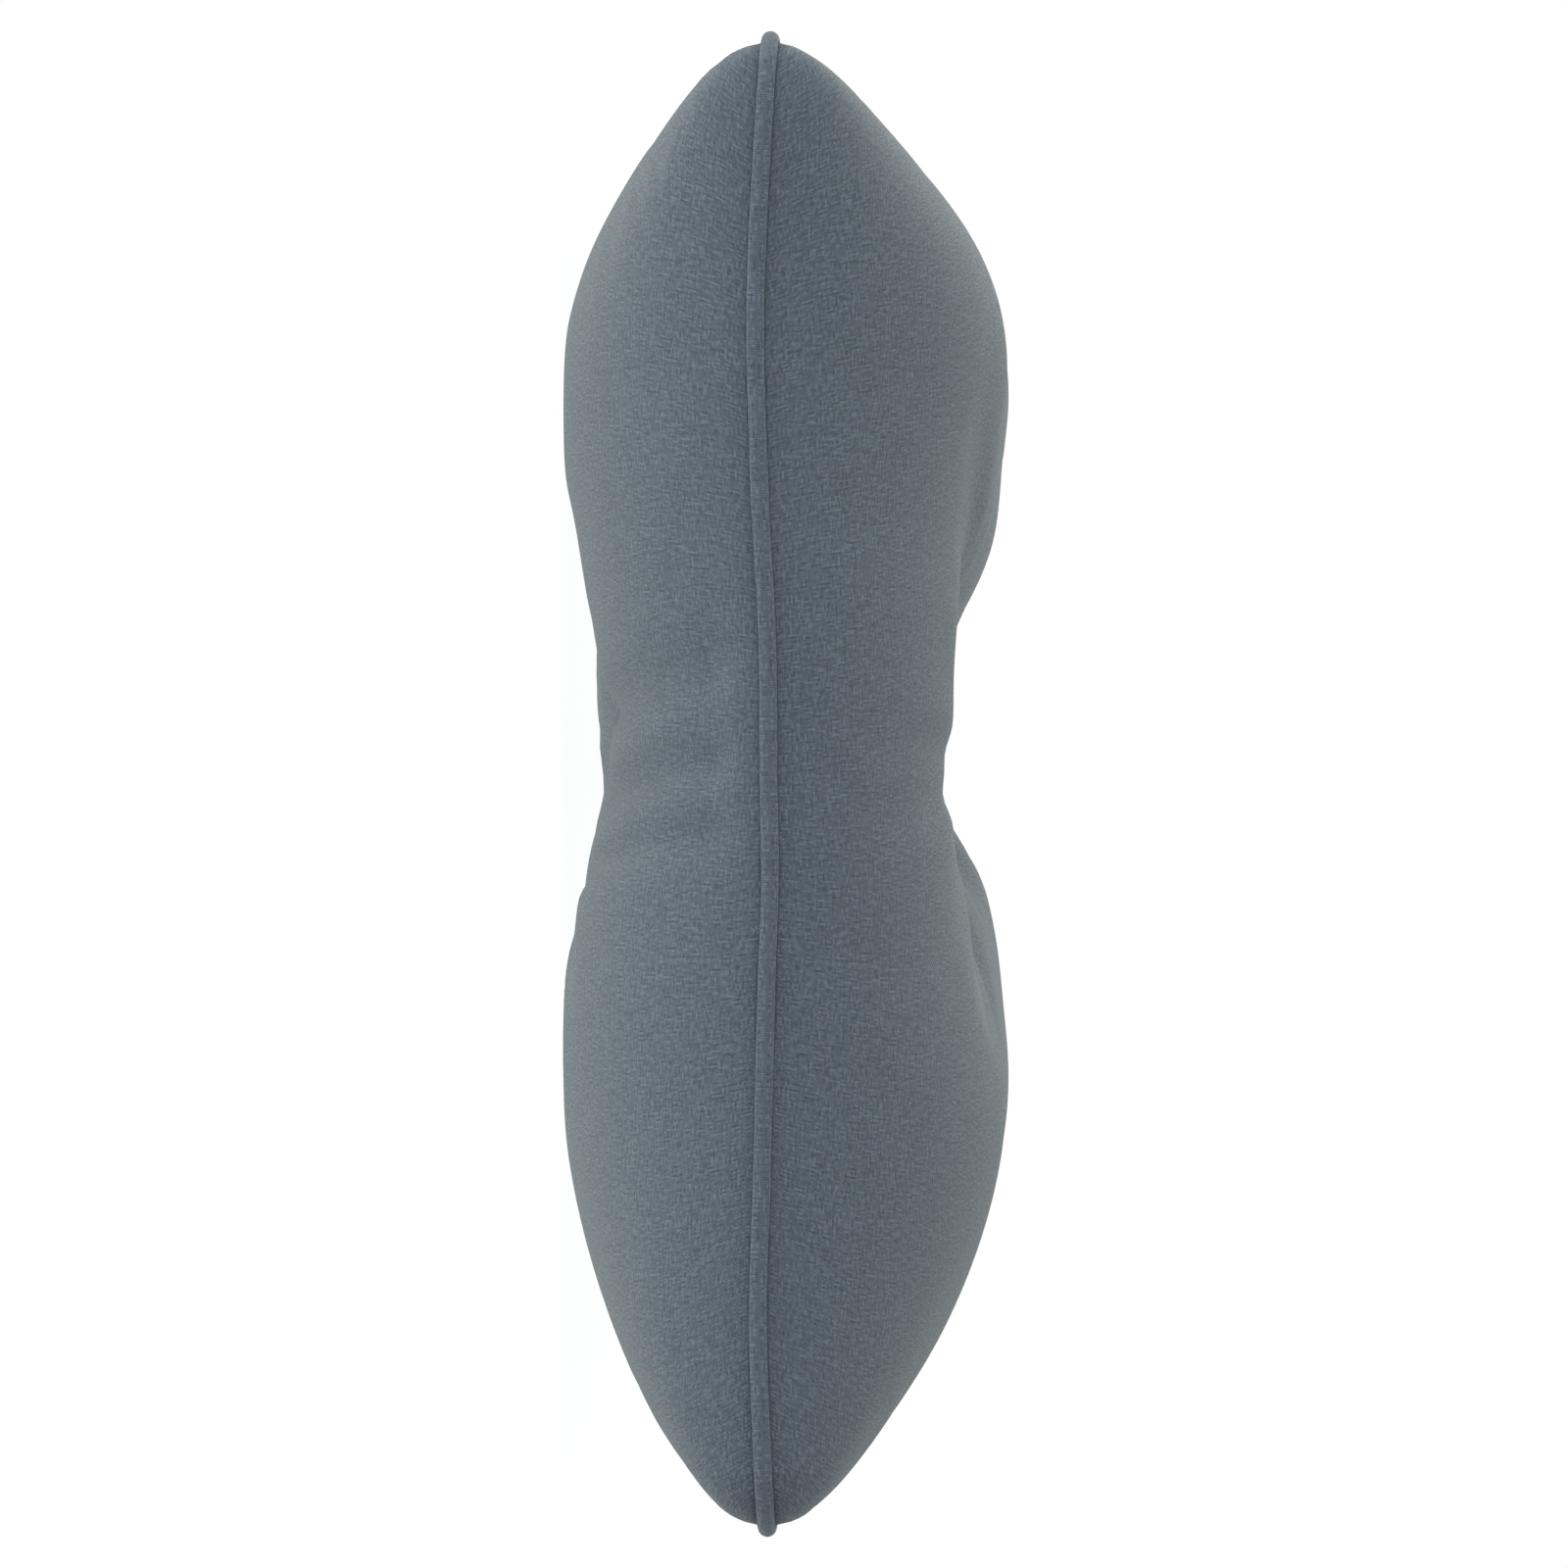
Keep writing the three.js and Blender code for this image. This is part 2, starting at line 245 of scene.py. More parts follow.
def add_node(
    tree: bpy.types.NodeTree,
    kind: str,
    settings: dict[str, Any] | None = None,
    inputs: dict[Any, Any] | None = None,
) -> bpy.types.Node:
    """Adds a node with its settings and links.

    Args:
        tree: The node tree that gets it.
        kind: The node's type name.
        settings: Values of the node's own properties.
        inputs: Input name or index to a plain value, or to a socket to link from.

    Returns:
        The new node.
    """
    node = tree.nodes.new(kind)
    for name, value in (settings or {}).items():
        setattr(node, name, value)
    for key, value in (inputs or {}).items():
        if isinstance(value, Socket):
            tree.links.new(value, node.inputs[key])
        else:
            node.inputs[key].default_value = value
    return node


def empty_tree(owner: bpy.types.Material | bpy.types.World) -> bpy.types.NodeTree:
    """Gives a material or world a node tree with nothing in it."""
    owner.use_nodes = True
    owner.node_tree.nodes.clear()
    return owner.node_tree


def add_object(name: str, data: bpy.types.ID) -> bpy.types.Object:
    """Adds an object to the scene."""
    added = bpy.data.objects.new(name, data)
    bpy.context.scene.collection.objects.link(added)
    return added


def smooth_step(share: np.ndarray) -> np.ndarray:
    """A smooth rise from 0 to 1 as the share goes from 0 to 1."""
    share = np.clip(share, 0, 1)
    return share * share * (3 - 2 * share)


def read_table(rows: Sequence[SeamRow | FullRow], column: str, at: np.ndarray) -> np.ndarray:
    """Reads one column of a table, with a smooth curve through its rows.

    Args:
        rows: Table rows in rising y.
        column: The column to read.
        at: Heights in millimetres.

    Returns:
        The column's value at each height.
    """
    ys = np.array([row.y for row in rows], float)
    values = np.array([getattr(row, column) for row in rows], float)
    above = np.minimum(np.arange(len(ys)) + 1, len(ys) - 1)
    below = np.maximum(np.arange(len(ys)) - 1, 0)
    slopes = (values[above] - values[below]) / (ys[above] - ys[below])
    at = np.clip(at, ys[0], ys[-1])
    row = np.clip(np.searchsorted(ys, at, side="right") - 1, 0, len(ys) - 2)
    step = ys[row + 1] - ys[row]
    t = (at - ys[row]) / step
    start = values[row] * (1 + 2 * t) * (1 - t) ** 2
    end = values[row + 1] * t * t * (3 - 2 * t)
    return start + end + step * t * (1 - t) * (slopes[row] * (1 - t) - slopes[row + 1] * t)


def grid_normals(points: np.ndarray) -> np.ndarray:
    """Unit normals of a grid of points, on the side that its two axes turn to."""
    normals = np.cross(np.gradient(points, axis=0), np.gradient(points, axis=1))
    return normals / np.linalg.norm(normals, axis=-1, keepdims=True)


def seam_distance(points: np.ndarray) -> np.ndarray:
    """Distance of each grid point from the nearer ends of its own row and column."""
    nearest = np.full(points.shape[:2], np.inf)
    for axis in (0, 1):
        for end in (0, -1):
            away = np.linalg.norm(points - points.take([end], axis=axis), axis=-1)
            nearest = np.minimum(nearest, away)
    return nearest


def edge_places(count_x: int, count_y: int) -> tuple[np.ndarray, np.ndarray]:
    """Grid places round the edge, turning left from the lower right corner.

    Args:
        count_x: Points of the grid across.
        count_y: Points of the grid up.

    Returns:
        Columns and rows of the places.
    """
    right = [(count_x - 1, row) for row in range(count_y - 1)]
    top = [(column, count_y - 1) for column in range(count_x - 1, 0, -1)]
    left = [(0, row) for row in range(count_y - 1, 0, -1)]
    bottom = [(column, 0) for column in range(count_x - 1)]
    columns, rows = zip(*right, *top, *left, *bottom)
    return np.array(columns), np.array(rows)


def blurred(grid: np.ndarray, radius: int, passes: int = 3) -> np.ndarray:
    """A smooth copy of a grid, by passes of a running mean.

    Args:
        grid: Values with two grid axes first.
        radius: Half the width of the running mean, in cells.
        passes: How often the mean is taken along each axis.

    Returns:
        The smooth copy.
    """
    result = grid
    size = 2 * radius + 1
    for _ in range(passes):
        for axis in (0, 1):
            width = [(0, 0)] * result.ndim
            width[axis] = (radius + 1, radius)
            total = np.cumsum(np.pad(result, width, mode="edge"), axis=axis)
            upper = total.take(range(size, total.shape[axis]), axis=axis)
            lower = total.take(range(0, total.shape[axis] - size), axis=axis)
            result = (upper - lower) / size
    return result


def finer(grid: np.ndarray, step: int) -> np.ndarray:
    """Brings a coarse grid to the full fineness by straight steps between its points.

    Args:
        grid: Values with two grid axes first.
        step: Cells of the full grid in each coarse cell.

    Returns:
        Values at every point of the full grid.
    """
    for axis in (0, 1):
        count = grid.shape[axis]
        at = np.arange((count - 1) * step + 1) / step
        low = np.minimum(at.astype(int), count - 2)
        share = at - low
        shape = [1] * grid.ndim
        shape[axis] = len(at)
        share = share.reshape(shape)
        grid = grid.take(low, axis=axis) * (1 - share) + grid.take(low + 1, axis=axis) * share
    return grid


@dataclass(frozen=True)
class CushionForm:
    """The law of the cushion's shape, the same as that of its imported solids, in millimetres."""

    width: float = 610.0
    height: float = 560.0
    piping_diameter: float = 6.7
    seam_gap: float = 0.05
    seam_height: float = 79.5
    rest_blend: float = 1.5
    corner_power: int = 16
    side_draw_in: float = 9.0
    end_draw_in: float = 6.0
    ripple_lift: float = 1.2
    ripple_length: float = 45.0
    ripple_turn: float = 4.0
    ripple_blend: float = 0.25
    wander_fade: float = 60.0
    fullest: float = 93.0
    left_strip_start: float = -135.0
    left_strip_full: float = -195.0
    side_reach: float = 165.0
    side_rounding: float = 0.6
    end_blend: float = 0.25
    fold_start_width: float = 0.55
    fold_spread: float = 0.9
    fold_belly: float = 0.6
    fold_fade: float = 28.0
    bank_width: float = 2.2
    bank_height: float = 0.32
    even_share: float = 0.45
    measured_cells: int = 44
    channel_step: float = 23.0
    channel_steps: int = 3

    @property
    def piping_radius(self) -> float:
        """Half the thickness of the piping."""
        return self.piping_diameter / 2

    @property
    def channel_radius(self) -> float:
        """Radius of the channel that holds the piping."""
        return (self.piping_radius + self.seam_gap) / math.cos(math.radians(self.channel_step / 2))

    @property
    def channel_angles(self) -> list[float]:
        """Angles of the channel's points, from the front lip to the back lip."""
        counts = range(self.channel_steps, -self.channel_steps - 1, -1)
        return [self.channel_step * count for count in counts]

    @property
    def lip_rise(self) -> float:
        """How far a face's lip stands off the middle of the piping."""
        return self.channel_radius * math.sin(math.radians(self.channel_angles[0]))

    @property
    def lip_inset(self) -> float:
        """How far a face's lip lies in from the middle of the piping."""
        return self.channel_radius * math.cos(math.radians(self.channel_angles[0]))

    @property
    def half(self) -> tuple[float, float]:
        """Half the width and half the height along the middle of the piping."""
        return self.width / 2 - self.piping_radius, self.height / 2 - self.piping_radius

    def cell_edges(self, cells: int) -> np.ndarray:
        """Positions of the cell edges from -1 to 1, closer together towards the seam."""
        even = np.linspace(-1, 1, cells + 1)
        return self.even_share * even + (1 - self.even_share) * np.sin(even * np.pi / 2)

    def rough_plan(self, u: np.ndarray, v: np.ndarray) -> tuple[np.ndarray, np.ndarray]:
        """Plan before it is brought to size, with its soft corners and drawn-in edges."""
        half_x, half_y = self.half
        cut = 1 / (self.corner_power + 1)
        draw_x = self.side_draw_in / half_x * (1 - v * v) * u * u
        draw_y = self.end_draw_in / half_y * (1 - u * u) * v * v
        x = u * np.sqrt(1 - cut * np.abs(v) ** (2 * self.corner_power)) * (1 - draw_x)
        y = v * np.sqrt(1 - cut * np.abs(u) ** (2 * self.corner_power)) * (1 - draw_y)
        return x, y

    def plan(self, u: np.ndarray, v: np.ndarray) -> tuple[np.ndarray, np.ndarray]:
        """Plan position of points of the cushion."""
        edge = self.cell_edges(self.measured_cells)
        one = np.ones_like(edge)
        widest = self.rough_plan(one, edge)[0].max()
        tallest = self.rough_plan(edge, one)[1].max()
        x, y = self.rough_plan(u, v)
        return x / widest * self.half[0], y / tallest * self.half[1]

    def seam_lift(self, u: np.ndarray, y: np.ndarray) -> np.ndarray:
        """Height of the seam above its mean."""
        blend = smooth_step((u + 1) / (2 * self.ripple_blend))
        ripple = self.ripple_lift * np.sin(y / self.ripple_length + u * self.ripple_turn)
        return read_table(LEFT_SEAM, "lift", y) * (1 - blend) + ripple * blend

    @staticmethod
    def rounded(distance: np.ndarray, reach: float | np.ndarray, rounding: float | np.ndarray) -> np.ndarray:
        """Share of the fullness reached at a distance in from an edge."""
        left = 1 - np.clip(distance / reach, 0, 1)
        return (1 - left * left) ** rounding

    def fullness(self, x: np.ndarray, y: np.ndarray, side: Side) -> np.ndarray:
        """Fullness of a face, where its left strip and its middle run into each other."""
        middle = read_table(FULLNESS, side.value, y)
        if side is Side.BACK:
            return middle
        t = (self.left_strip_start - x) / (self.left_strip_start - self.left_strip_full)
        strip = smooth_step(t)
        return middle * (1 - strip) + read_table(FULLNESS, "front_left", y) * strip

    def fold_depth(self, fold: Fold, x: np.ndarray, y: np.ndarray) -> np.ndarray:
        """Depth of one fold, with the low banks beside it.

        Args:
            fold: The fold.
            x: Plan positions across.
            y: Plan positions up.

        Returns:
            How far the face sinks there.
        """
        tuft = TUFTS[fold.tuft]
        turn = math.radians(fold.bearing)
        along = (x - tuft.x) * math.cos(turn) + (y - tuft.y) * math.sin(turn)
        aside = (y - tuft.y) * math.cos(turn) - (x - tuft.x) * math.sin(turn) - fold.shift
        share = np.clip(along / fold.length, 0, 1)
        width = fold.width * (self.fold_start_width + self.fold_spread * share)
        trough = np.exp(-((aside / width) ** 2))
        bank = np.exp(-((aside / width / self.bank_width) ** 2))
        shape = (1 + self.bank_height) * trough - self.bank_height * bank
        return fold.depth * np.sin(np.pi * share**self.fold_belly) * shape

    def stand_off(
        self, u: np.ndarray, v: np.ndarray, x: np.ndarray, y: np.ndarray, side: Side
    ) -> np.ndarray:
        """How far a face stands off the seam, before its folds.

        Args:
            u: Places across, from -1 to 1.
            v: Places up, from -1 to 1.
            x: Plan positions across.
            y: Plan positions up.
            side: The face.

        Returns:
            Heights off the seam in millimetres.
        """
        from_side = np.maximum((1 - np.abs(u)) * self.half[0] - self.lip_inset, 0)
        from_end = np.maximum((1 - np.abs(v)) * self.half[1] - self.lip_inset, 0)
        up_share = np.clip((v / self.end_blend + 1) / 2, 0, 1)
        reach, rounding = (
            getattr(BOTTOM_END, name) * (1 - up_share) + getattr(TOP_END, name) * up_share
            for name in (side.value, f"{side.value}_rounding")
        )
        across = self.rounded(from_side, self.side_reach, self.side_rounding)
        up = self.rounded(from_end, reach, rounding)
        both = across * up
        share = both / np.sqrt(np.maximum(across**2 + up**2 - both**2, TINY))
        height = self.fullness(x, y, side) * share
        for tuft in TUFTS:
            away = np.hypot(x - tuft.x, y - tuft.y)
            height = height * (1 - getattr(tuft, side.value) * np.exp(-away / tuft.spread))
        return self.lip_rise + np.maximum(height, 0) * (1 - self.lip_rise / self.fullest)

    def rested(self, z: np.ndarray) -> np.ndarray:
        """Height of the back after it has flattened on the floor."""
        soft = np.maximum(z + self.rest_blend, 0) ** 2 / (4 * self.rest_blend)
        return np.where(z > self.rest_blend, z, soft)

    def face(self, u: np.ndarray, v: np.ndarray, side: Side) -> np.ndarray:
        """Points of one face.

        Args:
            u: Places across, from -1 to 1.
            v: Places up, from -1 to 1.
            side: The face.

        Returns:
            Positions in millimetres, with a last axis of 3.
        """
        x, y = self.plan(u, v)
        from_side = (1 - np.abs(u)) * self.half[0]
        from_end = (1 - np.abs(v)) * self.half[1]
        wander = self.seam_lift(u, y) * np.exp(-np.minimum(from_side, from_end) / self.wander_fade)
        off = self.stand_off(u, v, x, y, side)
        sign = 1 if side is Side.FRONT else -1
        smooth = np.stack([x, y, self.seam_height + wander + sign * off], axis=-1)
        depth = sum(self.fold_depth(fold, x, y) for fold in FOLDS[side])
        fade = smooth_step(seam_distance(smooth) / self.fold_fade)
        points = smooth - sign * grid_normals(smooth) * (depth * fade)[..., None]
        if side is Side.BACK:
            points[..., 2] = self.rested(points[..., 2])
        return points

    def seam_line(self, u: np.ndarray, v: np.ndarray) -> np.ndarray:
        """Middle of the piping at places round the edge."""
        x, y = self.plan(u, v)
        return np.stack([x, y, self.seam_height + self.seam_lift(u, y)], axis=-1)

    def channel(self, line: np.ndarray) -> np.ndarray:
        """Sections of the channel round the seam.

        Args:
            line: The closed seam line.

        Returns:
            One section for each point of the line, from the front lip to the back lip.
        """
        along = np.roll(line, -1, axis=0) - np.roll(line, 1, axis=0)
        outward = np.cross(along, (0.0, 0.0, 1.0))
        outward /= np.linalg.norm(outward, axis=1, keepdims=True)
        upward = np.cross(outward, along)
        upward /= np.linalg.norm(upward, axis=1, keepdims=True)
        angles = np.radians(self.channel_angles)[None, :, None]
        turn = upward[:, None] * np.sin(angles) - outward[:, None] * np.cos(angles)
        return line[:, None] + self.channel_radius * turn


@dataclass(frozen=True)
class LinenCloth:
    """Heathered linen-look plain weave in slate grey-blue.

    Woven from uneven yarns of several tones: short pale and dark dashes run along both
    yarn directions, the surface is dead matt, and its fibre ends catch light at the rims.
    """

    name: str
    uv: str
    base: str
    dark: str
    light: str
    ribs: bool = False
    yarn_mm: float = 0.9
    weft_slub_mm: float = 5.4
    warp_slub_mm: float = 4.5
    slub_detail: float = 1.0
    slub_roughness: float = 0.6
    yarn_step: float = 7.31
    yarn_contrast: float = 0.5
    weft_seed: float = 3.7
    warp_seed: float = 61.2
    tone_reach: float = 0.21
    warp_share: float = 0.47
    top_yarn_share: float = 0.3
    blotch_mm: float = 28.0
    blotch_detail: float = 3.0
    blotch_share: float = 0.03
    roughness: float = 0.95
    specular: float = 0.25
    sheen: float = 0.5
    sheen_roughness: float = 0.45
    sheen_tint: str = "#dfe6dc"
    relief_mm: float = 0.18
    relief_strength: float = 0.7
    slub_relief: float = 0.8

    @property
    def middle_tone(self) -> float:
        """Mean of the tone that the yarns and the blotches leave."""
        return 0.5 * (1 - self.yarn_contrast) + 0.5 * self.blotch_share

    def yarn_tone(
        self, tree: bpy.types.NodeTree, across: Socket, along: Socket, slub_mm: float, seed: float
    ) -> Socket:
        """Tone of one set of yarns, even across each yarn and slubby along it.

        Each yarn is toned against its neighbour, so that no patches form.

        Args:
            tree: The material's tree.
            across: Position across the yarns, in metres.
            along: Position along the yarns, in metres.
            slub_mm: Length of their slubs.
            seed: Shift that sets this set of yarns apart.

        Returns:
            A socket with the tone.
        """
        divide = {"operation": "DIVIDE"}
        number = add_node(tree, "ShaderNodeMath", divide, {0: across, 1: self.yarn_mm * MM})
        whole = add_node(tree, "ShaderNodeMath", {"operation": "FLOOR"}, {0: number.outputs[0]})
        length = add_node(tree, "ShaderNodeMath", divide, {0: along, 1: slub_mm * MM})
        tones = []
        for shift in (seed, seed + self.yarn_step):
            apart = add_node(
                tree, "ShaderNodeMath", MULTIPLY_ADD, {0: whole.outputs[0], 1: self.yarn_step, 2: shift}
            )
            place = add_node(
                tree, "ShaderNodeCombineXYZ", None, {"X": length.outputs[0], "Y": apart.outputs[0]}
            )
            noise = add_node(
                tree,
                "ShaderNodeTexNoise",
                FLAT_NOISE,
                {
                    "Vector": place.outputs[0],
                    "Scale": 1.0,
                    "Detail": self.slub_detail,
                    "Roughness": self.slub_roughness,
                },
            )
            tones.append(noise.outputs["Fac"])
        against = add_node(
            tree, "ShaderNodeMath", MULTIPLY_ADD, {0: tones[1], 1: -self.yarn_contrast, 2: tones[0]}
        )
        return against.outputs[0]

    def yarn_colour(
        self, tree: bpy.types.NodeTree, uv: Socket, weft: Socket, warp: Socket, on_top: Socket
    ) -> Socket:
        """Colour of the heathered yarns, with faint blotches over many of them.

        Args:
            tree: The material's tree.
            uv: Place on the panel, in metres.
            weft: Tone of the weft yarns.
            warp: Tone of the warp yarns.
            on_top: Tone of whichever yarn lies on top.

        Returns:
            A socket with the colour.
        """
        both = add_node(tree, "ShaderNodeMix", MIX_VALUES, {0: self.warp_share, 2: weft, 3: warp})
        yarns = add_node(
            tree, "ShaderNodeMix", MIX_VALUES, {0: self.top_yarn_share, 2: both.outputs[0], 3: on_top}
        )
        blotch = add_node(
            tree,
            "ShaderNodeTexNoise",
            FLAT_NOISE,
            {"Vector": uv, "Scale": 1 / (self.blotch_mm * MM), "Detail": self.blotch_detail},
        )
        tone = add_node(
            tree,
            "ShaderNodeMath",
            MULTIPLY_ADD,
            {0: blotch.outputs["Fac"], 1: self.blotch_share, 2: yarns.outputs[0]},
        )
        ramp = add_node(tree, "ShaderNodeValToRGB", None, {0: tone.outputs[0]})
        stops = ramp.color_ramp.elements
        stops[0].position = self.middle_tone - self.tone_reach
        stops[0].color = linear_colour(self.dark)
        stops[1].position = self.middle_tone + self.tone_reach
        stops[1].color = linear_colour(self.light)
        middle = stops.new(self.middle_tone)
        middle.color = linear_colour(self.base)
        return ramp.outputs["Color"]

    def relief(
        self, tree: bpy.types.NodeTree, across: Socket, up: Socket, checks: Socket, on_top: Socket
    ) -> Socket:
        """Low relief of rounded yarns, which rise in the middle of each.

        Args:
            tree: The material's tree.
            across: Place across the panel, in metres.
            up: Place up the panel, in metres.
            checks: 1 where the warp lies on top, 0 where the weft does.
            on_top: Tone of whichever yarn lies on top; paler slubs stand a little higher.

        Returns:
            A socket with the surface's normal.
        """
        ridges = []
        half_turn = math.pi / (self.yarn_mm * MM)
        for place in (across, up):
            turn = add_node(tree, "ShaderNodeMath", {"operation": "MULTIPLY"}, {0: place, 1: half_turn})
            wave = add_node(tree, "ShaderNodeMath", {"operation": "SINE"}, {0: turn.outputs[0]})
            ridge = add_node(tree, "ShaderNodeMath", {"operation": "ABSOLUTE"}, {0: wave.outputs[0]})
            ridges.append(ridge.outputs[0])
        over = add_node(
            tree,
            "ShaderNodeMix",
            MIX_VALUES,
            {0: 1.0 if self.ribs else checks, 2: ridges[1], 3: ridges[0]},
        )
        height = add_node(
            tree, "ShaderNodeMath", MULTIPLY_ADD, {0: on_top, 1: self.slub_relief, 2: over.outputs[0]}
        )
        bump = add_node(
            tree,
            "ShaderNodeBump",
            None,
            {
                "Height": height.outputs[0],
                "Distance": self.relief_mm * MM,
                "Strength": self.relief_strength,
            },
        )
        return bump.outputs[0]

    def build(self) -> bpy.types.Material:
        """Makes the cloth's material.

        Returns:
            The material.
        """
        material = bpy.data.materials.new(self.name)
        tree = empty_tree(material)
        uv = add_node(tree, "ShaderNodeUVMap", {"uv_map": self.uv}).outputs[0]
        split = add_node(tree, "ShaderNodeSeparateXYZ", None, {0: uv})
        across, up = split.outputs["X"], split.outputs["Y"]
        weft = self.yarn_tone(tree, up, across, self.weft_slub_mm, self.weft_seed)
        warp = self.yarn_tone(tree, across, up, self.warp_slub_mm, self.warp_seed)

        # In a plain weave each yarn passes over and under by turns
        checker = add_node(
            tree,
            "ShaderNodeTexChecker",
            None,
            {"Vector": uv, "Color1": WHITE, "Color2": BLACK, "Scale": 1 / (self.yarn_mm * MM)},
        )
        checks = checker.outputs["Fac"]
        on_top = add_node(tree, "ShaderNodeMix", MIX_VALUES, {0: checks, 2: weft, 3: warp}).outputs[0]
        cloth = add_node(
            tree,
            "ShaderNodeBsdfPrincipled",
            None,
            {
                "Base Color": self.yarn_colour(tree, uv, weft, warp, on_top),
                "Normal": self.relief(tree, across, up, checks, on_top),
                "Roughness": self.roughness,
                "Specular IOR Level": self.specular,
                "Sheen Weight": self.sheen,
                "Sheen Roughness": self.sheen_roughness,
                "Sheen Tint": linear_colour(self.sheen_tint),
            },
        )
        add_node(tree, "ShaderNodeOutputMaterial", None, {"Surface": cloth.outputs[0]})
        return material


@dataclass
class CushionPad:
    """The filled cover: two face panels and the channel between their lips."""

    form: CushionForm
    cloth: LinenCloth
    cells_across: int = 216
    cells_up: int = 200
    panel_width: float = 690.0
    panel_height: float = 640.0
    fill: float = 0.8
    sim_step: int = 2
    sim_frames: int = 20
    sim_quality: int = 6
    cloth_mass: float = 0.3
    stretch_stiffness: float = 25.0
    shear_stiffness: float = 8.0
    bending_stiffness: float = 0.6
    pressure: float = 4.0
    growth: float = 0.035
    tuft_hold: float = 7.0
    held_edge: float = 0.9999
    form_radius: int = 7
    wrinkle_cap: float = 1.6
    wrinkle_reach: float = 75.0
    wrinkle_least: float = 0.25
    edge_fade: float = 0.025

    def grid(self, step: int = 1) -> tuple[np.ndarray, np.ndarray]:
        """Cell edges across and up, every one or every few."""
        across = self.form.cell_edges(self.cells_across)[::step]
        up = self.form.cell_edges(self.cells_up)[::step]
        return across, up

    def faces_and_ring(
        self, step: int
    ) -> tuple[dict[Side, np.ndarray], np.ndarray, tuple[np.ndarray, np.ndarray]]:
        """Grids of both faces and the channel's sections.

        Args:
            step: Grid step, 1 for the full fineness.

        Returns:
            The faces' points, the channel's sections and the grid places of the lips.
        """
        across, up = self.grid(step)
        u, v = np.meshgrid(across, up, indexing="ij")
        grids = {side: self.form.face(u, v, side) for side in Side}
        columns, rows = edge_places(len(across), len(up))
        ring = self.form.channel(self.form.seam_line(across[columns], up[rows]))
        grids[Side.FRONT][columns, rows] = ring[:, 0]
        grids[Side.BACK][columns, rows] = ring[:, -1]
        return grids, ring, (columns, rows)

    def panel_uv(self, points: np.ndarray) -> np.ndarray:
        """Place of each grid point on its flat panel, in metres.

        Args:
            points: The face's grid.

        Returns:
            Panel coordinates with a last axis of 2.
        """
        shares = []
        for axis, length in ((0, self.panel_width), (1, self.panel_height)):
            steps = np.linalg.norm(np.diff(points, axis=axis), axis=-1)
            run = np.cumsum(steps, axis=axis)
            run = np.insert(run, 0, 0, axis=axis)
            total = run.take([-1], axis=axis)
            shares.append((run / total - 0.5) * length * MM)
        return np.stack(shares, axis=-1)

    @staticmethod
    def quads(index: np.ndarray, lip: np.ndarray, sections: tuple[int, int]) -> np.ndarray:
        """Faces of both panels and of the channel between their lips.

        Args:
            index: Point numbers of the front panel's grid; the back panel's follow them.
            lip: Point numbers along the front panel's lip.
            sections: How many sections the channel has, and the points in each but its lips.

        Returns:
            Four point numbers for each face.
        """
        a, b, c, d = index[:-1, :-1], index[1:, :-1], index[1:, 1:], index[:-1, 1:]
        front = np.stack([a, b, c, d], axis=-1).reshape(-1, 4)
        back = np.stack([d, c, b, a], axis=-1).reshape(-1, 4) + index.size
        inner = 2 * index.size + np.arange(math.prod(sections)).reshape(sections)
        loops = np.concatenate([lip[:, None], inner, lip[:, None] + index.size], axis=1)
        following = np.roll(loops, -1, axis=0)
        corners = [loops[:, :-1], loops[:, 1:], following[:, 1:], following[:, :-1]]
        strip = np.stack(corners, axis=-1).reshape(-1, 4)
        return np.concatenate([front, back, strip])

    def build_mesh(
        self, name: str, step: int, push: dict[Side, np.ndarray] | None = None
    ) -> bpy.types.Object:
        """Makes the closed cover.

        Args:
            name: The new object's name.
            step: Grid step, 1 for the full fineness.
            push: Movement of each face's grid points in millimetres, if any.

        Returns:
            The object.
        """
        grids, ring, edge = self.faces_and_ring(step)
        uvs = {side: self.panel_uv(grids[side]) for side in Side}
        if push:
            for side in Side:
                grids[side] = grids[side] + push[side]
                grids[side][..., 2] = np.maximum(grids[side][..., 2], 0)
        inner = ring[:, 1:-1]
        parts = (grids[Side.FRONT], grids[Side.BACK], inner)
        verts = np.concatenate([part.reshape(-1, 3) for part in parts])
        shape = grids[Side.FRONT].shape[:2]
        index = np.arange(math.prod(shape)).reshape(shape)
        quads = self.quads(index, index[edge], inner.shape[:2])
        mesh = bpy.data.meshes.new(name)
        mesh.from_pydata((verts * MM).tolist(), [], quads.tolist())

        # The channel is cut from the front panel's edge; it lies behind the piping
        ring_uv = np.repeat(uvs[Side.FRONT][edge][:, None], inner.shape[1], axis=1)
        parts = (uvs[Side.FRONT], uvs[Side.BACK], ring_uv)
        per_vertex = np.concatenate([part.reshape(-1, 2) for part in parts])
        layer = mesh.uv_layers.new(name=CLOTH_UV)
        layer.data.foreach_set("uv", per_vertex[quads.reshape(-1)].reshape(-1))
        mesh.shade_smooth()
        mesh.update()
        return add_object(name, mesh)

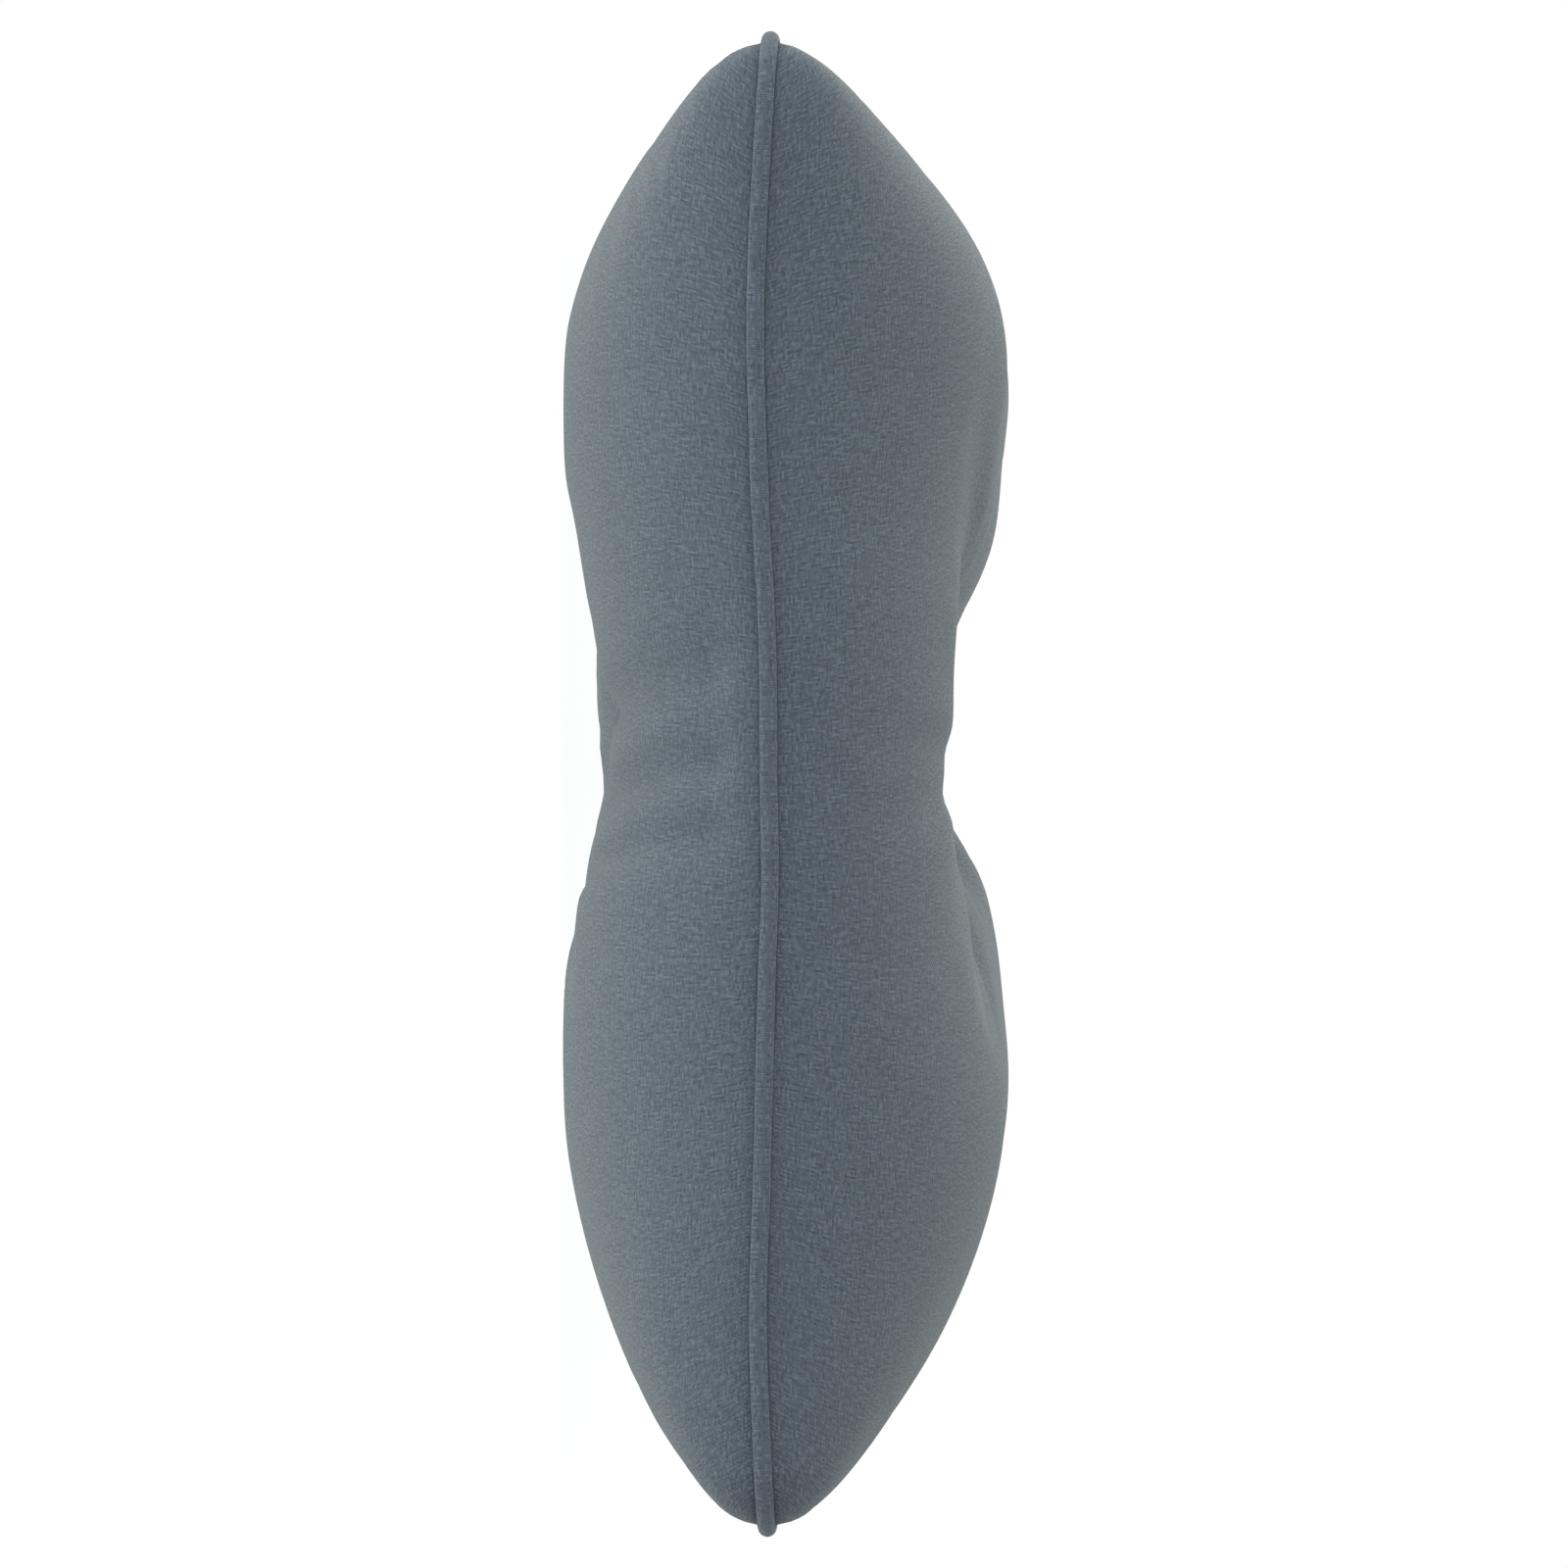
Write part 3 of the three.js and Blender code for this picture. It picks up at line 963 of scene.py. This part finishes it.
    def simulated_push(self, near_tuft: np.ndarray, at_edge: np.ndarray) -> np.ndarray:
        """Fills the cover in a cloth simulation, held at the seam and at the tufts.

        Args:
            near_tuft: Grid points that a tuft holds.
            at_edge: Grid points on the seam.

        Returns:
            Movement of every point of the coarse cover, in millimetres.
        """
        pad = self.build_mesh("cushion_sim", self.sim_step)
        cells = at_edge.size
        held_face = np.flatnonzero((near_tuft | at_edge).reshape(-1))
        held = [*held_face.tolist(), *(held_face + cells).tolist()]
        held += range(2 * cells, len(pad.data.vertices))
        group = pad.vertex_groups.new(name="held")
        group.add(held, 1.0, "REPLACE")
        cloth = pad.modifiers.new("cloth", "CLOTH")
        settings = cloth.settings
        settings.quality = self.sim_quality
        settings.mass = self.cloth_mass
        settings.tension_stiffness = self.stretch_stiffness
        settings.compression_stiffness = self.stretch_stiffness
        settings.shear_stiffness = self.shear_stiffness
        settings.bending_stiffness = self.bending_stiffness
        settings.use_pressure = True
        settings.uniform_pressure_force = self.pressure
        settings.shrink_min = -self.growth
        settings.vertex_group_mass = group.name
        settings.effector_weights.gravity = 0
        cloth.collision_settings.use_collision = False
        scene = bpy.context.scene
        for owner in (scene, cloth.point_cache):
            owner.frame_start, owner.frame_end = 1, self.sim_frames
        for number in range(1, self.sim_frames + 1):
            scene.frame_set(number)
        evaluated = pad.evaluated_get(bpy.context.evaluated_depsgraph_get())
        moved = np.empty(len(evaluated.data.vertices) * 3)
        evaluated.data.vertices.foreach_get("co", moved)
        rest = np.empty_like(moved)
        pad.data.vertices.foreach_get("co", rest)
        push = ((moved - rest) / MM).reshape(-1, 3)
        log.info("cloth moved at most %.1f mm", float(np.linalg.norm(push, axis=1).max()))
        scene.frame_set(1)
        mesh = pad.data
        bpy.data.objects.remove(pad, do_unlink=True)
        bpy.data.meshes.remove(mesh)
        return push

    def wrinkles(self) -> dict[Side, np.ndarray]:
        """Simulates the filled cover and keeps only its small wrinkles.

        The cover's cloth is a little larger than the form and is pressed out from inside.
        What it moves as a whole is taken out again, so that the form keeps its outline.
        The wrinkles are strongest round the tufts, and end before the seam.

        Returns:
            Movement of each face's points on the full grid, in millimetres.
        """
        across, up = self.grid(self.sim_step)
        u, v = np.meshgrid(across, up, indexing="ij")
        x, y = self.form.plan(u, v)
        from_tuft = np.min([np.hypot(x - tuft.x, y - tuft.y) for tuft in TUFTS], axis=0)
        outward = np.maximum(np.abs(u), np.abs(v))
        push = self.simulated_push(from_tuft < self.tuft_hold, outward > self.held_edge)
        fade = np.clip((1 - outward) / self.edge_fade, 0, 1)
        near = np.exp(-((from_tuft / self.wrinkle_reach) ** 2))
        fade = fade * (self.wrinkle_least + (1 - self.wrinkle_least) * near)
        result = {}
        for order, side in enumerate(Side):
            grid = push[order * u.size : (order + 1) * u.size].reshape(*u.shape, 3)
            grid = grid - blurred(grid, self.form_radius)
            size = np.linalg.norm(grid, axis=-1, keepdims=True)
            capped = self.wrinkle_cap * np.tanh(size / self.wrinkle_cap)
            grid = grid * (capped / np.maximum(size, TINY))
            result[side] = finer(grid * fade[..., None], self.sim_step)
        return result

    def build(self) -> bpy.types.Object:
        """Makes and dresses the cushion.

        Returns:
            The cushion's object.
        """
        push = self.wrinkles()
        piece = self.build_mesh("cushion_cover", 1, push)
        piece.data.materials.append(self.cloth.build())
        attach(piece, BODY)
        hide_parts("cushion")
        return piece


@dataclass
class Piping:
    """The closed round of covered cord in the seam."""

    form: CushionForm
    cloth: LinenCloth
    path_points: int = 1200
    sides: int = 18
    unevenness: float = 0.035
    swells_per_metre: float = 45.0
    swell_detail: float = 1.0
    noise_low: float = 0.2
    noise_high: float = 0.8

    def path(self) -> bpy.types.Object:
        """Makes a closed curve along the middle of the seam.

        Returns:
            The curve's object.
        """
        count = self.path_points // 4
        edge = self.form.cell_edges(count)
        columns, rows = edge_places(count + 1, count + 1)
        line = self.form.seam_line(edge[columns], edge[rows]) * MM
        curve = bpy.data.curves.new("piping_path", "CURVE")
        curve.dimensions = "3D"
        spline = curve.splines.new("POLY")
        spline.points.add(len(line) - 1)
        spline.points.foreach_set("co", np.insert(line, 3, 1.0, axis=1).reshape(-1))
        spline.use_cyclic_u = True
        return add_object("piping_path", curve)

    def thickness(self, tree: bpy.types.NodeTree, unevenness: Socket) -> Socket:
        """Thickness of the cord along its path, in soft swells about 1.

        Args:
            tree: The cord's tree.
            unevenness: How far the thickness strays either way.

        Returns:
            A socket with the thickness.
        """
        noise = add_node(
            tree, "ShaderNodeTexNoise", None, {"Scale": self.swells_per_metre, "Detail": self.swell_detail}
        )
        swell = add_node(
            tree,
            "ShaderNodeMapRange",
            None,
            {
                "Value": noise.outputs["Fac"],
                "From Min": self.noise_low,
                "From Max": self.noise_high,
                "To Min": -1.0,
                "To Max": 1.0,
            },
        )
        thick = add_node(tree, "ShaderNodeMath", MULTIPLY_ADD, {0: swell.outputs[0], 1: unevenness, 2: 1.0})
        return thick.outputs[0]

    def tree(self) -> bpy.types.NodeTree:
        """Makes the node tree that sweeps the cord along its path.

        Returns:
            The tree, with inputs Path, Radius, Sides, Unevenness and Cloth.
        """
        tree = bpy.data.node_groups.new("covered_cord", "GeometryNodeTree")
        sockets = (
            ("Path", "INPUT", "Geometry"),
            ("Radius", "INPUT", "Float"),
            ("Sides", "INPUT", "Int"),
            ("Unevenness", "INPUT", "Float"),
            ("Cloth", "INPUT", "Material"),
            ("Cord", "OUTPUT", "Geometry"),
        )
        for name, way, kind in sockets:
            tree.interface.new_socket(name, in_out=way, socket_type=f"NodeSocket{kind}")
        given = add_node(tree, "NodeGroupInput")
        along = add_node(tree, "GeometryNodeSplineParameter")
        on_points = {"domain": "POINT"}
        capture = "GeometryNodeCaptureAttribute"
        keep = add_node(tree, capture, on_points, {0: given.outputs["Path"]})
        keep.capture_items.new("FLOAT", "Length")
        tree.links.new(along.outputs["Length"], keep.inputs["Length"])
        ring = add_node(
            tree,
            "GeometryNodeCurvePrimitiveCircle",
            {"mode": "RADIUS"},
            {"Resolution": given.outputs["Sides"], "Radius": given.outputs["Radius"]},
        )
        around = add_node(tree, "GeometryNodeSplineParameter")
        keep_round = add_node(tree, capture, on_points, {0: ring.outputs[0]})
        keep_round.capture_items.new("FLOAT", "Round")
        tree.links.new(around.outputs["Length"], keep_round.inputs["Round"])
        swept = add_node(
            tree,
            "GeometryNodeCurveToMesh",
            None,
            {
                "Curve": keep.outputs[0],
                "Profile Curve": keep_round.outputs[0],
                "Scale": self.thickness(tree, given.outputs["Unevenness"]),
            },
        )
        place = add_node(
            tree,
            "ShaderNodeCombineXYZ",
            None,
            {"X": keep.outputs["Length"], "Y": keep_round.outputs["Round"]},
        )
        store = add_node(
            tree,
            "GeometryNodeStoreNamedAttribute",
            {"data_type": "FLOAT_VECTOR", "domain": "POINT"},
            {"Geometry": swept.outputs[0], "Name": CORD_UV, "Value": place.outputs[0]},
        )
        smooth = add_node(tree, "GeometryNodeSetShadeSmooth", None, {"Geometry": store.outputs[0]})
        real = add_node(tree, "GeometryNodeRealizeInstances", None, {"Geometry": smooth.outputs[0]})
        dressed = add_node(
            tree,
            "GeometryNodeSetMaterial",
            None,
            {"Geometry": real.outputs[0], "Material": given.outputs["Cloth"]},
        )
        add_node(tree, "NodeGroupOutput", None, {"Cord": dressed.outputs[0]})
        return tree

    def build(self) -> bpy.types.Object:
        """Makes and dresses the piping.

        Returns:
            The piping's object.
        """
        path = self.path()
        modifier = path.modifiers.new("cord", "NODES")
        modifier.node_group = self.tree()
        values = {
            "Radius": self.form.piping_radius * MM,
            "Sides": self.sides,
            "Unevenness": self.unevenness,
            "Cloth": self.cloth.build(),
        }
        for socket in modifier.node_group.interface.items_tree:
            if socket.name in values and socket.in_out == "INPUT":
                modifier[socket.identifier] = values[socket.name]
        evaluated = path.evaluated_get(bpy.context.evaluated_depsgraph_get())
        mesh = bpy.data.meshes.new_from_object(evaluated)
        mesh.name = "piping_cord"
        curve = path.data
        bpy.data.objects.remove(path, do_unlink=True)
        bpy.data.curves.remove(curve)
        piece = add_object("piping_cord", mesh)
        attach(piece, BODY)
        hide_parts("piping")
        return piece


@dataclass(frozen=True)
class PhotoCamera:
    """A camera beside the cushion's left side, turned so that the top edge is up."""

    distance: float = 4.0
    elevation: float = 1.5
    near_height_px: float = 1549.0
    image_px: float = 1600.0
    sensor: float = 36.0
    clip_end: float = 50.0

    def build(self, form: CushionForm) -> bpy.types.Object:
        """Makes the scene's camera.

        Args:
            form: The cushion's sizes.

        Returns:
            The camera.
        """
        turn = math.radians(self.elevation)
        ahead = Vector((math.cos(turn), 0, -math.sin(turn)))
        right = Vector((math.sin(turn), 0, math.cos(turn)))
        up = Vector((0, 1, 0))
        aim = Vector((0, 0, form.seam_height * MM))
        data = bpy.data.cameras.new("camera")
        data.sensor_width = self.sensor
        near = self.distance - form.half[0] * MM
        pixels = self.near_height_px / (form.height * MM) * near
        data.lens = pixels * self.sensor / self.image_px
        data.clip_end = self.clip_end
        camera = add_object("camera", data)
        basis = Matrix((right, up, -ahead)).transposed().to_4x4()
        camera.matrix_world = Matrix.Translation(aim - ahead * self.distance) @ basis
        bpy.context.scene.camera = camera
        return camera


@dataclass(frozen=True)
class Lamp:
    """A soft square lamp: its place and side in metres and its power in watts."""

    name: str
    place: tuple[float, float, float]
    side: float
    power: float

    def build(self, aim: tuple[float, float, float]) -> bpy.types.Object:
        """Makes the lamp.

        Args:
            aim: The point that it faces, in metres.

        Returns:
            The lamp's object.
        """
        data = bpy.data.lights.new(self.name, "AREA")
        data.shape = "SQUARE"
        data.size = self.side
        data.energy = self.power
        lamp = add_object(self.name, data)
        lamp.location = Vector(self.place)
        towards = Vector(aim) - lamp.location
        lamp.rotation_euler = towards.to_track_quat("-Z", "Y").to_euler()
        return lamp


@dataclass(frozen=True)
class Studio:
    """A plain pale floor and soft light."""

    floor_left: float = -0.38
    floor_right: float = 3.0
    floor_bottom: float = -0.36
    floor_top: float = 2.5
    floor_colour: str = "#7c7c7c"
    floor_glow: float = 0.95
    floor_light: float = 0.70
    floor_roughness: float = 0.9
    sky_light: float = 0.375
    lamp_aim: tuple[float, float, float] = (0.0, 0.0, 0.08)
    lamps: tuple[Lamp, ...] = (
        Lamp("top_lamp", (1.15, 0.35, 2.0), 2.0, 9.5),
        Lamp("side_lamp", (2.2, 0.6, 0.8), 1.6, 22.0),
        Lamp("end_lamp", (-0.9, 2.0, 0.05), 0.8, 10.0),
        Lamp("front_lamp", (-1.8, 0.2, 2.0), 1.5, 5.5),
    )

    def floor(self) -> bpy.types.Object:
        """Makes the floor, a pale sheet lit through from below.

        Returns:
            The floor's object.
        """
        mesh = bpy.data.meshes.new("floor")
        left, right = self.floor_left, self.floor_right
        low, high = self.floor_bottom, self.floor_top
        corners = [(left, low, 0), (right, low, 0), (right, high, 0), (left, high, 0)]
        mesh.from_pydata(corners, [], [list(range(len(corners)))])
        material = bpy.data.materials.new("pale_floor")
        tree = empty_tree(material)
        seen = add_node(tree, "ShaderNodeLightPath")
        glow = add_node(
            tree,
            "ShaderNodeMix",
            MIX_VALUES,
            {0: seen.outputs["Is Camera Ray"], 2: self.floor_light, 3: self.floor_glow},
        )
        sheet = add_node(
            tree,
            "ShaderNodeBsdfPrincipled",
            None,
            {
                "Base Color": linear_colour(self.floor_colour),
                "Roughness": self.floor_roughness,
                "Specular IOR Level": 0.0,
                "Emission Color": WHITE,
                "Emission Strength": glow.outputs[0],
            },
        )
        add_node(tree, "ShaderNodeOutputMaterial", None, {"Surface": sheet.outputs[0]})
        mesh.materials.append(material)
        floor = add_object("floor", mesh)
        return floor

    def world(self) -> None:
        """Makes a white backdrop that gives only a little light of its own."""
        world = bpy.data.worlds.new("studio")
        bpy.context.scene.world = world
        tree = empty_tree(world)
        seen = add_node(tree, "ShaderNodeLightPath")
        dim, white = (
            add_node(tree, "ShaderNodeBackground", None, {"Color": WHITE, "Strength": strength})
            for strength in (self.sky_light, 1.0)
        )
        mix = add_node(
            tree,
            "ShaderNodeMixShader",
            None,
            {0: seen.outputs["Is Camera Ray"], 1: dim.outputs[0], 2: white.outputs[0]},
        )
        add_node(tree, "ShaderNodeOutputWorld", None, {"Surface": mix.outputs[0]})

    def build(self) -> None:
        """Makes the floor, the backdrop and the lamps."""
        self.floor()
        self.world()
        for lamp in self.lamps:
            lamp.build(self.lamp_aim)
        bpy.context.scene.view_settings.view_transform = "Standard"


def main() -> None:
    """Builds the cushion, its piping, the camera and the studio."""
    logging.basicConfig(level=logging.INFO, format="%(name)s: %(message)s")
    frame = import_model()
    log.info("frame: %d nodes", len(frame["nodes"]))
    form = CushionForm()
    cover = LinenCloth("linen_weave_cover", CLOTH_UV, "#76838e", "#616d78", "#8e9ba6")
    cord = LinenCloth("linen_weave_piping", CORD_UV, "#74818d", "#5f6b77", "#8d9aa6", ribs=True)
    cushion = CushionPad(form, cover).build()
    log.info("cushion: %d faces", len(cushion.data.polygons))
    piping = Piping(form, cord).build()
    log.info("piping: %d faces", len(piping.data.polygons))
    PhotoCamera().build(form)
    log.info("camera placed")
    Studio().build()
    log.info("studio lit")


if __name__ == "__main__":
    main()
